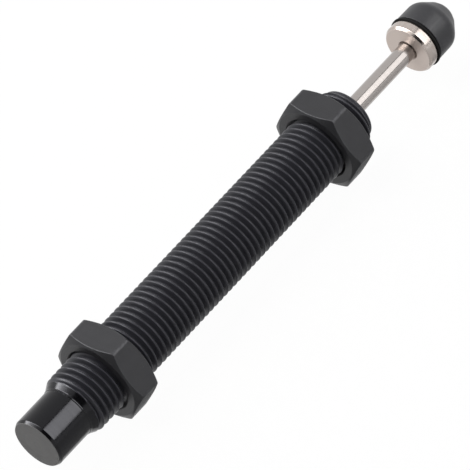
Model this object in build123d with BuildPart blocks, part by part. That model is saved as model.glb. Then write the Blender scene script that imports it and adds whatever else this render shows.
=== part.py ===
import os
from math import cos, pi, radians, sqrt, tan

from build123d import *

# Industrial shock absorber: a self-compensating hydraulic unit in a threaded body.
# Sizes are millimetres. The long axis is X, with the bumper at +X, and +Z is up.
# The origin is on the axis, at the rear (clamping) face of the front lock nut.

# Thread and lock nuts
thread_pitch = 1.5
thread_depth_share = 0.6134  # of the pitch, for an outside metric thread
nut_slack = 0.03             # the nut's plain bore lies this far outside the body's crests
nut_across_flats = 18.8      # a 19 mm spanner size, at the low end of its tolerance
nut_thickness = 6.4
nut_face_radius = 9.0        # where the corner chamfer meets the nut's face
nut_corner_rounding = 0.9
nut_chamfer_angle = 30.0
thread_past_front_nut = 2.6
thread_past_rear_nut = 6.9

# Body
body_length = 99.6
thread_end_cone = 1.2
lip_length = 0.85
lip_rounding = 0.55
lip_thickness = 1.4          # wall of the rolled lip in front of the rod guide
lip_overlap = 0.8            # how far the lip reaches inwards over the guide
lip_edge = 0.2
neck_length = 9.2
neck_relief = 0.3            # the plain neck lies this far under the thread's root
shoulder_length = 2.45
shoulder_step = 0.12         # small raised land between the neck and the shoulder's cone
shoulder_land = 0.4
rear_edge_length = 0.67
rear_edge_rise = 0.35
end_wall = 4.7
body_wall = 0.7              # thinnest wall, at the neck

# Rod, stroke and bumper head
rod_diameter = 4.0
stroke = 20.0
head_gap = 0.1               # left between head and body at full stroke
rod_step = 0.5               # each rod spigot is this much smaller in radius
rod_edge = 0.25
head_diameter = 11.5
head_disc_length = 2.55
head_edge_length = 0.55
head_edge_rise = 0.4
head_countersink = 0.35
head_groove_length = 0.25
head_groove_depth = 0.12
socket_depth = 1.2           # full rod diameter inside the head
head_spigot_length = 4.0     # rod spigot inside the head
post_radius = 3.2
post_length = 5.2
bead_radius = 3.8
bead_length = 1.8
bead_edge = 0.4
cap_lip_proud = 0.33         # how far the cap's lip stands out past the steel button
cap_lip_length = 0.8
cap_lip_step = 0.12
cap_rear_proud = 0.13
cap_front_proud = 0.08
cap_side_length = 4.9
cap_cone_length = 3.1
cap_face_radius = 3.4
cap_nose_length = 0.75
cap_rounding = 0.9

# Rod guide and seals
guide_clearance = 0.05
wiper_pocket_depth = 2.0
wiper_gap = 0.2
wiper_lip_reach = 0.6        # scraper edge in front of the guide
wiper_lip_wall = 0.5
pocket_step = 0.98           # the wiper and seal pockets are this much wider than the bush
pocket_wall = 1.15           # guide wall round the wiper and the rod seal
bush_length = 7.6
bush_wall = 0.8
rod_clearance = 0.02         # running clearance of the rod in its bush and seals
web_thickness = 0.8          # between the bush and the seal pocket
web_room = 0.1
washer_thickness = 0.4
seal_length = 3.0
seal_float = 0.2
seal_groove_depth = 1.6
seal_lip_wall = 0.45
o_ring_width = 1.4
o_ring_flat = 0.6            # squeezed flat against the groove and the bore
groove_width = 1.8
groove_depth = 1.0
groove_from_front = 5.1
guide_edge = 0.3

# Foam carrier and foam
carrier_flange = 1.2
foam_length = 9.5
foam_gap = 0.1               # between the foam and each flange, and to the bore
stop_flange = 1.3
stop_spigot = 2.0
rod_room = 0.3               # oil gap round the rod inside the carrier
sleeve_wall = 0.9
slot_count = 6
slot_width = 1.0
slot_depth = 0.75

# Pressure tube
oil_gap = 0.4                # oil path between the tube and the body
tube_wall = 0.8
metering_holes = 6
metering_radius = 0.3
return_holes = 4
return_radius = 0.6
return_from_stop = 2.5
plug_flange = 1.0
plug_spigot = 2.0
pin_length = 2.0
pin_radius = 2.4
pin_edge = 0.4

# Piston and check valve
piston_clearance = 0.05
piston_length = 12.0
land_length = 4.0
land_edge = 0.2
piston_relief = 0.85         # the piston behind its land is this much smaller in radius
stop_gap = 0.05              # between piston and stop at rest
rod_socket = 2.0
rod_spigot = 3.5
ring_groove_width = 1.4
ring_groove_depth = 0.75
ring_clearance = 0.02
ring_side_gap = 0.05
ring_back_gap = 0.08
ring_split = 0.35
cross_hole_radius = 0.5
cross_hole_from_spigot = 1.25
ball_radius = 1.0
ball_room = 0.3
ball_lift = 0.4
ball_gap = 0.02              # from the ball to its seat, and to the retainer when lifted
seat_bore_radius = 0.6
seat_mouth_radius = 0.9      # a 45 degree cone opens from the bore to this radius
retainer_thickness = 0.8
retainer_rim = 0.6
retainer_holes = 4
retainer_hole_radius = 0.35
retainer_hole_circle = 0.9

# Return spring
spring_wire = 0.6
spring_coils = 14
wire_facets = 4              # the wire's round section is drawn with this many flats
spring_clearance = 0.5       # from the wire to the tube's bore
spring_grind = 0.45          # share of the wire's diameter ground off each end

# Radii that follow, from the rod outwards to the crests of an M14 thread
rod_radius = rod_diameter / 2
spigot_radius = rod_radius - rod_step
running_radius = rod_radius + rod_clearance
bush_radius = running_radius + bush_wall
pocket_radius = bush_radius + pocket_step
guide_radius = pocket_radius + pocket_wall
bore_radius = guide_radius + guide_clearance
lip_bore_radius = bore_radius - lip_overlap
neck_radius = bore_radius + body_wall
root_radius = neck_radius + neck_relief
thread_depth = thread_depth_share * thread_pitch
thread_radius = root_radius + thread_depth
nut_bore_radius = thread_radius + nut_slack
groove_radius = guide_radius - groove_depth
carrier_bore = rod_radius + rod_room
sleeve_radius = carrier_bore + sleeve_wall
tube_radius = bore_radius - oil_gap
tube_bore = tube_radius - tube_wall
piston_radius = tube_bore - piston_clearance
piston_neck = piston_radius - piston_relief
ring_radius = tube_bore - ring_clearance
ring_bore = piston_radius - ring_groove_depth + ring_back_gap
ball_pocket_radius = ball_radius + ball_room
retainer_radius = ball_pocket_radius + retainer_rim
spring_radius = tube_bore - spring_clearance - spring_wire / 2
head_radius = head_diameter / 2

# Stations along X that follow, from the front lip backwards
thread_front = nut_thickness + thread_past_front_nut
lip_rear = thread_front + thread_end_cone
body_front = lip_rear + lip_length
body_rear = body_front - body_length
shoulder_rear = body_rear + neck_length
thread_rear = shoulder_rear + shoulder_length
rear_nut_rear = thread_rear + thread_past_rear_nut
bore_bottom = body_rear + end_wall
guide_front = body_front - lip_thickness
bush_front = guide_front - wiper_pocket_depth
bush_rear = bush_front - bush_length
seal_pocket_front = bush_rear - web_thickness
washer_rear = seal_pocket_front - washer_thickness
seal_rear = washer_rear - seal_length
guide_rear = seal_rear - seal_float
groove_front = guide_front - groove_from_front
groove_rear = groove_front - groove_width
foam_front = guide_rear - carrier_flange
foam_rear = foam_front - foam_length
tube_front = foam_rear - stop_flange
stop_face = tube_front - stop_spigot
tube_rear = bore_bottom + plug_flange
spring_rear = tube_rear + plug_spigot
piston_front = stop_face - stop_gap
piston_rear = piston_front - piston_length
land_front = piston_rear + land_length
ring_groove_rear = piston_rear + (land_length - ring_groove_width) / 2
ring_groove_front = ring_groove_rear + ring_groove_width
spigot_end = piston_front - rod_socket - rod_spigot
cross_hole_x = spigot_end - cross_hole_from_spigot
retainer_front = piston_rear + retainer_thickness
ball_x = retainer_front + ball_radius + ball_lift + ball_gap
seat_x = ball_x + ball_radius * sqrt(2) - seat_mouth_radius + ball_gap
head_rear = body_front + stroke + head_gap
head_front = head_rear + head_disc_length
side_rear = head_front + cap_lip_length + cap_lip_step
side_front = side_rear + cap_side_length
nose_rear = side_front + cap_cone_length
cap_front = nose_rear + cap_nose_length

os.makedirs("parts", exist_ok=True)


def section(*outline):
    """Closed half section of (x, radius) points, to be turned about the X axis."""
    with BuildSketch() as half:
        with BuildLine():
            Polyline(*outline, close=True)
        make_face()
    return half.sketch


def ring_section(rear, front, inner, outer):
    """Half section of a plain ring."""
    return section((rear, inner), (rear, outer), (front, outer), (front, inner))


# Outer body: a deep bored cylinder, closed at the rear, rolled over the guide in front.
with BuildPart() as outer_body:
    with BuildSketch() as body_section:
        with BuildLine():
            Polyline(
                (body_rear, 0),
                (body_rear, neck_radius - rear_edge_rise),
                (body_rear + rear_edge_length, neck_radius),
                (shoulder_rear, neck_radius),
                (shoulder_rear + shoulder_step, neck_radius + shoulder_step),
                (shoulder_rear + shoulder_land, neck_radius + shoulder_step),
                (thread_rear, thread_radius),
                (thread_front, thread_radius),
                (lip_rear, root_radius),
                (body_front, root_radius),
                (body_front, lip_bore_radius + lip_edge),
                (body_front - lip_edge, lip_bore_radius),
                (guide_front, lip_bore_radius),
                (guide_front, bore_radius),
                (bore_bottom, bore_radius),
                (bore_bottom, 0),
                close=True,
            )
        make_face()
        fillet(body_section.vertices().group_by(Axis.X)[-1].sort_by(Axis.Y)[-1], radius=lip_rounding)
    revolve(axis=Axis.X)
outer_body.part.label = "outer_body"
export_step(outer_body.part, "parts/outer_body.step")


# Lock nuts: hexagons with both faces chamfered, plain bore for the thread's crests.
chamfer_reach = nut_across_flats / 2 / cos(pi / 6) + 1
chamfer_drop = (chamfer_reach - nut_face_radius) * tan(radians(nut_chamfer_angle))


def lock_nut(rear):
    """One lock nut with its rear face at x = rear and a flat downwards."""
    front = rear + nut_thickness
    with BuildPart() as nut:
        with BuildSketch(Plane.YZ.offset(rear)):
            RegularPolygon(nut_across_flats / 2, 6, major_radius=False)
        extrude(amount=nut_thickness)
        fillet(nut.edges().filter_by(Axis.X), radius=nut_corner_rounding)
        envelope = section(
            (rear, 0),
            (rear, nut_face_radius),
            (rear + chamfer_drop, chamfer_reach),
            (front - chamfer_drop, chamfer_reach),
            (front, nut_face_radius),
            (front, 0),
        )
        revolve(envelope, axis=Axis.X, mode=Mode.INTERSECT)
        bore = section(
            (rear, 0),
            (rear, nut_bore_radius + thread_depth / 2),
            (rear + thread_depth / 2, nut_bore_radius),
            (front - thread_depth / 2, nut_bore_radius),
            (front, nut_bore_radius + thread_depth / 2),
            (front, 0),
        )
        revolve(bore, axis=Axis.X, mode=Mode.SUBTRACT)
    return nut.part


front_lock_nut = lock_nut(0)
front_lock_nut.label = "front_lock_nut"
export_step(front_lock_nut, "parts/front_lock_nut.step")

rear_lock_nut = lock_nut(rear_nut_rear)
rear_lock_nut.label = "rear_lock_nut"
export_step(rear_lock_nut, "parts/rear_lock_nut.step")


# Piston rod: ground and polished, with a smaller spigot at each end.
rod_shoulder_rear = piston_front - rod_socket
rod_shoulder_front = head_rear + socket_depth
with BuildPart() as piston_rod:
    revolve(
        section(
            (spigot_end, 0),
            (spigot_end, spigot_radius - rod_edge),
            (spigot_end + rod_edge, spigot_radius),
            (rod_shoulder_rear, spigot_radius),
            (rod_shoulder_rear, rod_radius),
            (rod_shoulder_front, rod_radius),
            (rod_shoulder_front, spigot_radius),
            (rod_shoulder_front + head_spigot_length - rod_edge, spigot_radius),
            (rod_shoulder_front + head_spigot_length, spigot_radius - rod_edge),
            (rod_shoulder_front + head_spigot_length, 0),
        ),
        axis=Axis.X,
    )
piston_rod.part.label = "piston_rod"
export_step(piston_rod.part, "parts/piston_rod.step")


# Bumper base: steel button with a countersunk socket behind and a beaded post in front.
bead_rear = head_front + post_length - bead_length
post_front = head_front + post_length
with BuildPart() as bumper_base:
    revolve(
        section(
            (head_rear, 0),
            (head_rear, head_radius - head_edge_rise),
            (head_rear + head_edge_length, head_radius),
            (head_front - head_groove_length, head_radius),
            (head_front - head_groove_length, head_radius - head_groove_depth),
            (head_front, head_radius - head_groove_depth),
            (head_front, post_radius),
            (bead_rear - bead_edge, post_radius),
            (bead_rear, bead_radius),
            (post_front - bead_edge, bead_radius),
            (post_front, bead_radius - bead_edge),
            (post_front, 0),
        ),
        axis=Axis.X,
    )
    revolve(
        section(
            (head_rear, 0),
            (head_rear, rod_radius + head_countersink),
            (head_rear + head_countersink, rod_radius),
            (rod_shoulder_front, rod_radius),
            (rod_shoulder_front, spigot_radius),
            (rod_shoulder_front + head_spigot_length, spigot_radius),
            (rod_shoulder_front + head_spigot_length, 0),
        ),
        axis=Axis.X,
        mode=Mode.SUBTRACT,
    )
bumper_base.part.label = "bumper_base"
export_step(bumper_base.part, "parts/bumper_base.step")


# Bumper cap: elastomer moulded over the post, with a proud lip and a coned nose.
with BuildPart() as bumper_cap:
    with BuildSketch() as cap_section:
        with BuildLine():
            Polyline(
                (head_front, 0),
                (head_front, head_radius + cap_lip_proud),
                (head_front + cap_lip_length, head_radius + cap_lip_proud),
                (side_rear, head_radius + cap_rear_proud),
                (side_front, head_radius + cap_front_proud),
                (nose_rear, cap_face_radius),
                (cap_front, cap_face_radius - cap_rounding),
                (cap_front, 0),
                close=True,
            )
        make_face()
        corners = cap_section.vertices().filter_by(lambda v: v.Y > 0)
        fillet(corners.filter_by(lambda v: v.X > side_rear), radius=cap_rounding)
    revolve(axis=Axis.X)
    revolve(
        section(
            (head_front, 0),
            (head_front, post_radius),
            (bead_rear - bead_edge, post_radius),
            (bead_rear, bead_radius),
            (post_front - bead_edge, bead_radius),
            (post_front, bead_radius - bead_edge),
            (post_front, 0),
        ),
        axis=Axis.X,
        mode=Mode.SUBTRACT,
    )
bumper_cap.part.label = "bumper_cap"
export_step(bumper_cap.part, "parts/bumper_cap.step")


# Rod guide: holds the wiper in front, the bush in the middle and the rod seal behind.
with BuildPart() as rod_guide:
    revolve(ring_section(guide_rear, guide_front, 0, guide_radius), axis=Axis.X)
    chamfer(rod_guide.edges().filter_by(GeomType.CIRCLE).sort_by(Axis.X)[0], length=guide_edge)
    revolve(
        section(
            (guide_front, 0),
            (guide_front, pocket_radius),
            (bush_front, pocket_radius),
            (bush_front, bush_radius),
            (bush_rear, bush_radius),
            (bush_rear, rod_radius + web_room),
            (seal_pocket_front, rod_radius + web_room),
            (seal_pocket_front, pocket_radius),
            (guide_rear, pocket_radius),
            (guide_rear, 0),
        ),
        axis=Axis.X,
        mode=Mode.SUBTRACT,
    )
    revolve(
        ring_section(groove_rear, groove_front, groove_radius, bore_radius),
        axis=Axis.X,
        mode=Mode.SUBTRACT,
    )
rod_guide.part.label = "rod_guide"
export_step(rod_guide.part, "parts/rod_guide.step")


# Guide bush: plain bearing pressed into the guide.
with BuildPart() as guide_bush:
    revolve(ring_section(bush_rear, bush_front, running_radius, bush_radius), axis=Axis.X)
guide_bush.part.label = "guide_bush"
export_step(guide_bush.part, "parts/guide_bush.step")


# Rod wiper: body in the front pocket, scraper lip running out along the rod.
with BuildPart() as rod_wiper:
    revolve(
        section(
            (bush_front + wiper_gap, running_radius + wiper_lip_wall),
            (bush_front + wiper_gap, pocket_radius),
            (guide_front, pocket_radius),
            (guide_front, running_radius + 2 * wiper_lip_wall),
            (guide_front + wiper_lip_reach, running_radius + wiper_lip_wall / 2),
            (guide_front + wiper_lip_reach, running_radius),
            (guide_front - wiper_lip_reach, running_radius),
        ),
        axis=Axis.X,
    )
rod_wiper.part.label = "rod_wiper"
export_step(rod_wiper.part, "parts/rod_wiper.step")


# Rod seal: a U-cup whose open side faces the oil.
seal_groove_front = seal_rear + seal_groove_depth
seal_groove_inner = running_radius + seal_lip_wall
seal_groove_outer = pocket_radius - seal_lip_wall
seal_groove_middle = (seal_groove_inner + seal_groove_outer) / 2
with BuildPart() as rod_seal:
    revolve(
        section(
            (seal_rear, running_radius),
            (seal_rear, seal_groove_inner),
            (seal_groove_front, seal_groove_middle),
            (seal_rear, seal_groove_outer),
            (seal_rear, pocket_radius),
            (washer_rear, pocket_radius),
            (washer_rear, running_radius),
        ),
        axis=Axis.X,
    )
rod_seal.part.label = "rod_seal"
export_step(rod_seal.part, "parts/rod_seal.step")


# Back-up washer between the rod seal and the guide's web.
with BuildPart() as seal_backup_washer:
    revolve(
        ring_section(washer_rear, seal_pocket_front, running_radius, pocket_radius),
        axis=Axis.X,
    )
seal_backup_washer.part.label = "seal_backup_washer"
export_step(seal_backup_washer.part, "parts/seal_backup_washer.step")


# Body O-ring, squeezed flat between the guide's groove and the body's bore.
o_ring_middle = (groove_front + groove_rear) / 2
o_ring_height = (groove_radius + bore_radius) / 2
with BuildPart() as body_o_ring:
    revolve(
        section(
            (o_ring_middle - o_ring_width / 2, o_ring_height),
            (o_ring_middle - o_ring_flat / 2, bore_radius),
            (o_ring_middle + o_ring_flat / 2, bore_radius),
            (o_ring_middle + o_ring_width / 2, o_ring_height),
            (o_ring_middle + o_ring_flat / 2, groove_radius),
            (o_ring_middle - o_ring_flat / 2, groove_radius),
        ),
        axis=Axis.X,
    )
body_o_ring.part.label = "body_o_ring"
export_step(body_o_ring.part, "parts/body_o_ring.step")


# Foam carrier: sleeve with two flanges; the rear one stops the piston and seats the tube.
with BuildPart() as foam_carrier:
    revolve(
        section(
            (guide_rear, carrier_bore),
            (guide_rear, guide_radius),
            (foam_front, guide_radius),
            (foam_front, sleeve_radius),
            (foam_rear, sleeve_radius),
            (foam_rear, guide_radius),
            (tube_front, guide_radius),
            (tube_front, piston_radius),
            (stop_face, piston_radius),
            (stop_face, carrier_bore),
        ),
        axis=Axis.X,
    )
    with BuildSketch(Plane.YZ.offset(tube_front)):
        with PolarLocations(guide_radius, slot_count):
            Rectangle(2 * slot_depth, slot_width)
    extrude(amount=stop_flange, mode=Mode.SUBTRACT)
foam_carrier.part.label = "foam_carrier"
export_step(foam_carrier.part, "parts/foam_carrier.step")


# Accumulator foam: closed-cell sleeve that gives way as the rod enters.
with BuildPart() as accumulator_foam:
    revolve(
        ring_section(
            foam_rear + foam_gap, foam_front - foam_gap, sleeve_radius, bore_radius - foam_gap
        ),
        axis=Axis.X,
    )
accumulator_foam.part.label = "accumulator_foam"
export_step(accumulator_foam.part, "parts/accumulator_foam.step")


# Pressure tube. Its metering holes are equal and lie closer and closer together, so the
# open area falls with the square root of the stroke left, which slows a load evenly.
with BuildPart() as pressure_tube:
    revolve(ring_section(tube_rear, tube_front, tube_bore, tube_radius), axis=Axis.X)
    for i in range(metering_holes):
        share_left = 1 - (i + 1) / metering_holes
        hole_x = piston_rear - stroke * (1 - share_left**2)
        turn = 360 * i / metering_holes
        with BuildSketch(Plane(origin=(hole_x, 0, 0), x_dir=(1, 0, 0), z_dir=(0, 1, 0))
                         .rotated((turn, 0, 0))):
            Circle(metering_radius)
        extrude(amount=bore_radius, mode=Mode.SUBTRACT)
    for i in range(return_holes):
        with BuildSketch(Plane(origin=(stop_face - return_from_stop, 0, 0), x_dir=(1, 0, 0),
                               z_dir=(0, 1, 0)).rotated((360 * i / return_holes, 0, 0))):
            Circle(return_radius)
        extrude(amount=bore_radius, mode=Mode.SUBTRACT)
pressure_tube.part.label = "pressure_tube"
export_step(pressure_tube.part, "parts/pressure_tube.step")


# Tube end plug: flange on the body's end wall, spigot in the tube, pin inside the spring.
with BuildPart() as tube_end_plug:
    revolve(
        section(
            (bore_bottom, 0),
            (bore_bottom, guide_radius),
            (tube_rear, guide_radius),
            (tube_rear, tube_bore),
            (spring_rear, tube_bore),
            (spring_rear, pin_radius),
            (spring_rear + pin_length - pin_edge, pin_radius),
            (spring_rear + pin_length, pin_radius - pin_edge),
            (spring_rear + pin_length, 0),
        ),
        axis=Axis.X,
    )
tube_end_plug.part.label = "tube_end_plug"
export_step(tube_end_plug.part, "parts/tube_end_plug.step")


# Piston: a land that meters the oil, a slim neck with cross holes, and the valve pocket.
with BuildPart() as piston:
    revolve(
        section(
            (piston_rear, 0),
            (piston_rear, piston_radius - land_edge),
            (piston_rear + land_edge, piston_radius),
            (land_front - land_edge, piston_radius),
            (land_front, piston_radius - land_edge),
            (land_front, piston_neck),
            (piston_front, piston_neck),
            (piston_front, 0),
        ),
        axis=Axis.X,
    )
    revolve(
        section(
            (piston_front, 0),
            (piston_front, rod_radius),
            (rod_shoulder_rear, rod_radius),
            (rod_shoulder_rear, spigot_radius),
            (spigot_end, spigot_radius),
            (spigot_end, seat_bore_radius),
            (seat_x + seat_mouth_radius - seat_bore_radius, seat_bore_radius),
            (seat_x, seat_mouth_radius),
            (seat_x, ball_pocket_radius),
            (retainer_front, ball_pocket_radius),
            (retainer_front, retainer_radius),
            (piston_rear, retainer_radius),
            (piston_rear, 0),
        ),
        axis=Axis.X,
        mode=Mode.SUBTRACT,
    )
    revolve(
        ring_section(
            ring_groove_rear, ring_groove_front, piston_radius - ring_groove_depth, tube_bore
        ),
        axis=Axis.X,
        mode=Mode.SUBTRACT,
    )
    for across in (Plane.XZ, Plane.XY):
        with BuildSketch(across):
            with Locations((cross_hole_x, 0)):
                Circle(cross_hole_radius)
        extrude(amount=piston_radius, both=True, mode=Mode.SUBTRACT)
piston.part.label = "piston"
export_step(piston.part, "parts/piston.step")


# Piston ring: split once, so that it springs out against the tube.
with BuildPart() as piston_ring:
    revolve(
        ring_section(
            ring_groove_rear + ring_side_gap,
            ring_groove_front - ring_side_gap,
            ring_bore,
            ring_radius,
        ),
        axis=Axis.X,
    )
    with BuildSketch(Plane.YZ.offset(ring_groove_rear)):
        with Locations((0, ring_radius)):
            Rectangle(ring_split, 2 * ring_groove_depth)
    extrude(amount=ring_groove_width, mode=Mode.SUBTRACT)
piston_ring.part.label = "piston_ring"
export_step(piston_ring.part, "parts/piston_ring.step")


# Check ball, shown on its seat.
with BuildPart() as check_ball:
    with Locations((ball_x, 0, 0)):
        Sphere(ball_radius)
check_ball.part.label = "check_ball"
export_step(check_ball.part, "parts/check_ball.step")


# Ball retainer: drilled disc staked into the piston's rear face.
with BuildPart() as ball_retainer:
    with BuildSketch(Plane.YZ.offset(piston_rear)):
        Circle(retainer_radius)
        with PolarLocations(retainer_hole_circle, retainer_holes):
            Circle(retainer_hole_radius, mode=Mode.SUBTRACT)
    extrude(amount=retainer_thickness)
ball_retainer.part.label = "ball_retainer"
export_step(ball_retainer.part, "parts/ball_retainer.step")


# Return spring: open coils whose ends are ground flat on the plug and on the piston.
ground = spring_wire * spring_grind
spring_span = piston_rear - spring_rear
wire_start = spring_rear + spring_wire / 2 - ground
wire_length = spring_span - spring_wire + 2 * ground
with BuildPart() as return_spring:
    with BuildLine() as wire_path:
        Helix(
            pitch=wire_length / spring_coils,
            height=wire_length,
            radius=spring_radius,
            center=(wire_start, 0, 0),
            direction=(1, 0, 0),
        )
    with BuildSketch(Plane(origin=wire_path.line @ 0, z_dir=wire_path.line % 0)):
        RegularPolygon(spring_wire / 2, wire_facets)
    sweep(path=wire_path.line, is_frenet=True)
    split(bisect_by=Plane.YZ.offset(spring_rear), keep=Keep.TOP)
    split(bisect_by=Plane.YZ.offset(piston_rear), keep=Keep.BOTTOM)
return_spring.part.label = "return_spring"
export_step(return_spring.part, "parts/return_spring.step")
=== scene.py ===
# %% [markdown]
# An industrial shock absorber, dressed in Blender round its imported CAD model.
# The CAD model is the fixed frame: it says where each piece is and what moves.
# Here every piece that shows gets a finer mesh and a procedural finish, and the
# sealed pieces inside keep their CAD meshes and only get materials.

# %% Load the frame
import math
from functools import partialmethod

import bmesh
import bpy
from mathutils import Matrix, Vector


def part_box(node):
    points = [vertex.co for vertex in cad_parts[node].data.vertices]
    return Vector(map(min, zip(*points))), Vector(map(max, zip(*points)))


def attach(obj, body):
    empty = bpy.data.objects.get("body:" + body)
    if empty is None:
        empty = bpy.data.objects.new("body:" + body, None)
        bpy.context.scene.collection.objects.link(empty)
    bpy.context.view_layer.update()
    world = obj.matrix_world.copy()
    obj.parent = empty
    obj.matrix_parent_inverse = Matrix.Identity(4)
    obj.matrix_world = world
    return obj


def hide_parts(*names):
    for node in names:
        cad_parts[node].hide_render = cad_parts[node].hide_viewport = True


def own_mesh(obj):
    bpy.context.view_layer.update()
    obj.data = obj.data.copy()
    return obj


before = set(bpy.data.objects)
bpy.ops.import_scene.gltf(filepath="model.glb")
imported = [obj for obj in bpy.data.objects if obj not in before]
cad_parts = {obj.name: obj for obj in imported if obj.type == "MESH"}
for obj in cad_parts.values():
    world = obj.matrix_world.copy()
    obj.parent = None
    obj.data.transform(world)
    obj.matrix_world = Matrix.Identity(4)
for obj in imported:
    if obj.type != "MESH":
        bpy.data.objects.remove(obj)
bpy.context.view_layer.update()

# %% [markdown]
# Blender works in metres and a shock absorber is drawn in millimetres, so one factor
# turns the values below into Blender's units. Where the frame can say a size, it does:
# a node's box gives its ends along X and its radius. The finer steps that a box can't
# show, such as a chamfer, are named values.

# %% Read the main sizes from the frame
MM = 0.001


def span(node):
    """A node's two ends along X and its largest radius, in millimetres."""
    low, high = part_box(node)
    return low[0] / MM, high[0] / MM, high[2] / MM


body_rear, body_front, crest_radius = span("outer_body")
front_nut_rear, front_nut_front = span("front_lock_nut")[:2]
rear_nut_rear, rear_nut_front, nut_flat = span("rear_lock_nut")
rod_rear, rod_front, rod_radius = span("piston_rod")
head_rear, post_front, head_radius = span("bumper_base")
cap_rear, cap_front, cap_lip_radius = span("bumper_cap")
guide_front, guide_radius = span("rod_guide")[1:]
bush_front = span("guide_bush")[1]
spring_rear, spring_front, spring_outer = span("return_spring")
print("body from", round(body_rear, 2), "to", round(body_front, 2), "mm, radius", round(crest_radius, 2))
print("nut across flats", round(2 * nut_flat, 2), "mm, bare rod", round(head_rear - body_front, 2), "mm")

# %% [markdown]
# The thread is metric and right-handed. A pitch is the distance from one ridge to the
# next, so every length of the thread follows from it. The neck behind the thread is a
# little thinner than the thread's groove, which is how a lathe tool runs out freely.

# %% Name the sizes of the body
pitch = 1.5
thread_phase = 0.6
thread_depth = 0.6134 * pitch
groove_radius = crest_radius - thread_depth
neck_radius = groove_radius - 0.3
neck_length = 9.2
shoulder_length = 2.45
shoulder_step = 0.12
shoulder_land = 0.4
shoulder_smooth = 1.05
rear_edge_length = 0.67
rear_edge_rise = 0.35
lip_length = 0.85
lip_rounding = 0.55
lip_edge = 0.2
lip_line = 0.69
lip_line_half = 0.07
lip_line_depth = 0.08
thread_end_cone = 1.2
end_wall = 4.7
body_bore = guide_radius + 0.05
lip_bore = body_bore - 0.8
shoulder_rear = body_rear + neck_length
lip_rear = body_front - lip_length
thread_length = lip_rear - thread_end_cone - shoulder_rear - shoulder_length
print("thread of", round(thread_length, 2), "mm,", round(thread_length / pitch, 1), "turns")

# %% [markdown]
# Most pieces here were turned on a lathe, so one helper draws a half section and spins
# it about the X axis. A sharp corner catches no light, and no real corner is sharp, so
# a corner may carry a radius: it is then drawn as a short arc. Two more points are put
# close beside the arc, because smooth shading bends the light over a whole face unless
# an edge holds it near the corner.

# %% A helper that rounds the corners of an outline
ARC_STEPS = 5
HOLD = 0.06


def rounded(outline):
    """Replaces each corner (x, r, radius) of an outline in millimetres by an arc."""
    points = []
    count = len(outline)
    for index, corner in enumerate(outline):
        here = Vector(corner[:2])
        if len(corner) == 2:
            points.append(here)
            continue
        back = Vector(outline[index - 1][:2]) - here
        ahead = Vector(outline[(index + 1) % count][:2]) - here
        half = back.angle(ahead) / 2
        reach = corner[2] / math.tan(half)
        back_way = back.normalized()
        ahead_way = ahead.normalized()
        centre = here + (back_way + ahead_way).normalized() * (corner[2] / math.sin(half))
        start = here + back_way * reach - centre
        turn = start.angle_signed(here + ahead_way * reach - centre)
        points.append(here + back_way * (reach + min(HOLD, (back.length - reach) / 4)))
        for step in range(ARC_STEPS + 1):
            spoke = start.copy()
            spoke.rotate(Matrix.Rotation(-turn * step / ARC_STEPS, 2))
            points.append(centre + spoke)
        points.append(here + ahead_way * (reach + min(HOLD, (ahead.length - reach) / 4)))
    return points


# %% A helper that joins rings of points into a surface
def on_circle(x, radius, angle):
    """The point at this place along the axis, radius and angle about it."""
    return Vector((x, radius * math.cos(angle), radius * math.sin(angle)))


def skin(bm, rings, closed=False):
    """Joins rings of points, in millimetres, face by face; a ring of one point is a pole."""
    rows = [[bm.verts.new(point * MM) for point in ring] for ring in rings]
    last = len(rows) if closed else len(rows) - 1
    for index in range(last):
        one = rows[index]
        two = rows[(index + 1) % len(rows)]
        around = max(len(one), len(two))
        if around == 1:
            continue
        for step in range(around):
            after = (step + 1) % around
            corners = [one[step % len(one)], one[after % len(one)],
                       two[after % len(two)], two[step % len(two)]]
            bm.faces.new(list(dict.fromkeys(corners)))


# %% A helper that marks the edges where wear comes first
LEAST_WIDTH = 0.02
GENTLE_BEND = 0.7
SHARP_BEND = 3.2


def mark_edges(mesh):
    """Stores a value per point: nought on flat and gently curved skin, one on a convex edge."""
    turns = {}
    for face in mesh.polygons:
        for key in face.edge_keys:
            turns.setdefault(key, []).append(face)
    edge_values = [0.0] * len(mesh.vertices)
    for ends, faces in turns.items():
        if len(faces) != 2:
            continue
        first, second = faces
        step = second.center - first.center
        if first.normal.dot(step) > 0:
            continue
        bend = first.normal.angle(second.normal, 0.0) / max(step.length / MM, LEAST_WIDTH)
        value = min(1.0, max(0.0, (bend - GENTLE_BEND) / (SHARP_BEND - GENTLE_BEND)))
        for end in ends:
            edge_values[end] = max(edge_values[end], value)
    marked = mesh.attributes.new("edge", "FLOAT", "POINT")
    marked.data.foreach_set("value", edge_values)


# %% A helper that spins an outline, and one that finishes the mesh
AROUND = 144
THREAD_AROUND = 72


def lathe(bm, outline, around=AROUND, closed=True):
    """Adds a surface of revolution about X to a bmesh."""
    rings = [[on_circle(x, radius, 2 * math.pi * step / around)
              for step in range(around if radius > 0 else 1)] for x, radius in rounded(outline)]
    skin(bm, rings, closed)


def placed(name, data):
    """An object of this data, linked to the scene."""
    made = bpy.data.objects.new(name, data)
    bpy.context.scene.collection.objects.link(made)
    return made


def finished_object(bm, name, crease=32):
    """Merges doubles, turns the faces outwards and makes an object of the bmesh."""
    bmesh.ops.remove_doubles(bm, verts=bm.verts, dist=1e-7)
    bmesh.ops.dissolve_degenerate(bm, edges=bm.edges, dist=1e-8)
    bmesh.ops.recalc_face_normals(bm, faces=bm.faces)
    open_edges = sum(1 for edge in bm.edges if not edge.is_manifold)
    mesh = bpy.data.meshes.new(name)
    bm.to_mesh(mesh)
    bm.free()
    mesh.shade_smooth()
    mesh.set_sharp_from_angle(angle=math.radians(crease))
    mark_edges(mesh)
    print(name, len(mesh.polygons), "faces,", open_edges, "open edges")
    return placed(name, mesh)





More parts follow.
